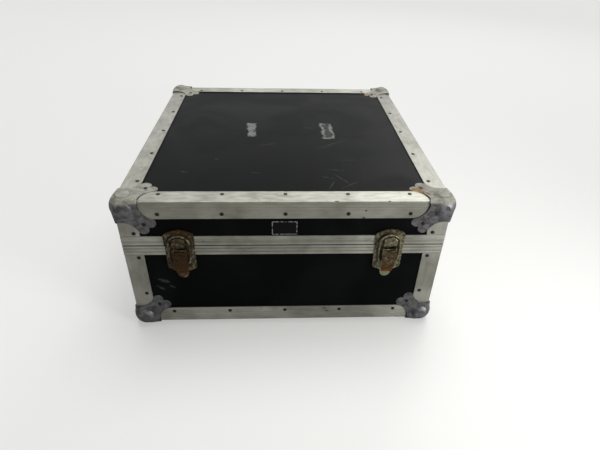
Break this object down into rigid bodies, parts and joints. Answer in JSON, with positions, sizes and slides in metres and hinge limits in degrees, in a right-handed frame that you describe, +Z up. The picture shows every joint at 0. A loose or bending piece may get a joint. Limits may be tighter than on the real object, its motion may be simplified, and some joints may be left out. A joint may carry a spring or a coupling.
{
  "type": "guitar pedal case",
  "caption": "Hard flight-style case for guitar effect pedals, with steel ball corners, draw latches, a stop-hinged lid and swing handles on its sides.",
  "frame": {"origin": "on the floor, below the middle of the case", "axes": "+X to the right seen from the front, +Y to the hinges at the back, +Z up"},
  "size_m": [0.5422, 0.5452, 0.2544],
  "materials": {
    "laminate": "near-black satin laminate on plywood",
    "aluminium": "mill-finish extrusion, clouded by oxide",
    "corner_steel": "dull zinc-plated pressing, rust at the edges",
    "rivet_steel": "dark rivet heads",
    "latch_steel": "nickel-plated steel, rusted where the plating has gone",
    "hinge_steel": "zinc-plated steel",
    "handle_steel": "zinc-plated steel",
    "grip_rubber": "black moulded rubber",
    "plate_black": "black plate with a grey frame, blank",
    "foam": "charcoal foam"
  },
  "bodies": {
    "base": {"base_back_board": "laminate", "base_back_edge": "aluminium", "base_back_rim": "aluminium", "base_ball_corner_back_left": "corner_steel", "base_ball_corner_back_right": "corner_steel", "base_ball_corner_front_left": "corner_steel", "base_ball_corner_front_right": "corner_steel", "base_bottom_board": "laminate", "base_corner_posts": "aluminium", "base_front_board": "laminate", "base_front_edge": "aluminium", "base_front_rim": "aluminium", "base_left_board": "laminate", "base_left_edge": "aluminium", "base_left_rim": "aluminium", "base_lining": "foam", "base_right_board": "laminate", "base_right_edge": "aluminium", "base_right_rim": "aluminium", "base_rivets": "rivet_steel", "handle_left_plate": "handle_steel", "handle_right_plate": "handle_steel", "hinge_base_leaves": "hinge_steel", "hinge_pins": "hinge_steel", "latch_left_base_plate": "latch_steel", "latch_pivot_pins": "latch_steel", "latch_right_base_plate": "latch_steel"},
    "lid": {"hinge_lid_leaves": "hinge_steel", "latch_left_keeper": "latch_steel", "latch_right_keeper": "latch_steel", "lid_back_board": "laminate", "lid_back_edge": "aluminium", "lid_back_rim": "aluminium", "lid_ball_corner_back_left": "corner_steel", "lid_ball_corner_back_right": "corner_steel", "lid_ball_corner_front_left": "corner_steel", "lid_ball_corner_front_right": "corner_steel", "lid_corner_posts": "aluminium", "lid_front_board": "laminate", "lid_front_edge": "aluminium", "lid_front_rim": "aluminium", "lid_left_board": "laminate", "lid_left_edge": "aluminium", "lid_left_rim": "aluminium", "lid_pad": "foam", "lid_right_board": "laminate", "lid_right_edge": "aluminium", "lid_right_rim": "aluminium", "lid_rivets": "rivet_steel", "lid_top_board": "laminate", "name_plate": "plate_black"},
    "latch_left_lever": {"latch_left_lever": "latch_steel"},
    "latch_left_loop": {"latch_left_loop": "latch_steel"},
    "latch_right_lever": {"latch_right_lever": "latch_steel"},
    "latch_right_loop": {"latch_right_loop": "latch_steel"},
    "handle_left": {"handle_left_bail": "handle_steel", "handle_left_grip": "grip_rubber"},
    "handle_right": {"handle_right_bail": "handle_steel", "handle_right_grip": "grip_rubber"}
  },
  "joints": [
    {"name": "lid_hinge", "type": "hinge", "parent": "base", "child": "lid", "pos_m": [0, 0.265, 0.1682], "axis": [-1, 0, 0], "range_deg": [0, 105]},
    {"name": "latch_left_lever_turn", "type": "hinge", "parent": "base", "child": "latch_left_lever", "pos_m": [-0.163, -0.2666, 0.163], "axis": [-1, 0, 0], "range_deg": [0, 135]},
    {"name": "latch_left_loop_turn", "type": "hinge", "parent": "latch_left_lever", "child": "latch_left_loop", "pos_m": [-0.163, -0.2654, 0.139], "axis": [-1, 0, 0], "range_deg": [-148.5, 0]},
    {"name": "latch_right_lever_turn", "type": "hinge", "parent": "base", "child": "latch_right_lever", "pos_m": [0.163, -0.2666, 0.163], "axis": [-1, 0, 0], "range_deg": [0, 135]},
    {"name": "latch_right_loop_turn", "type": "hinge", "parent": "latch_right_lever", "child": "latch_right_loop", "pos_m": [0.163, -0.2654, 0.139], "axis": [-1, 0, 0], "range_deg": [-148.5, 0]},
    {"name": "handle_left_swing", "type": "hinge", "parent": "base", "child": "handle_left", "pos_m": [-0.2611, 0, 0.11185], "axis": [0, 1, 0], "range_deg": [0, 100]},
    {"name": "handle_right_swing", "type": "hinge", "parent": "base", "child": "handle_right", "pos_m": [0.2611, 0, 0.11185], "axis": [0, -1, 0], "range_deg": [0, 100]}
  ],
  "couplings": [
    {"joint": "latch_left_loop_turn", "follows": "latch_left_lever_turn", "ratio": -1.1},
    {"joint": "latch_right_loop_turn", "follows": "latch_right_lever_turn", "ratio": -1.1}
  ]
}
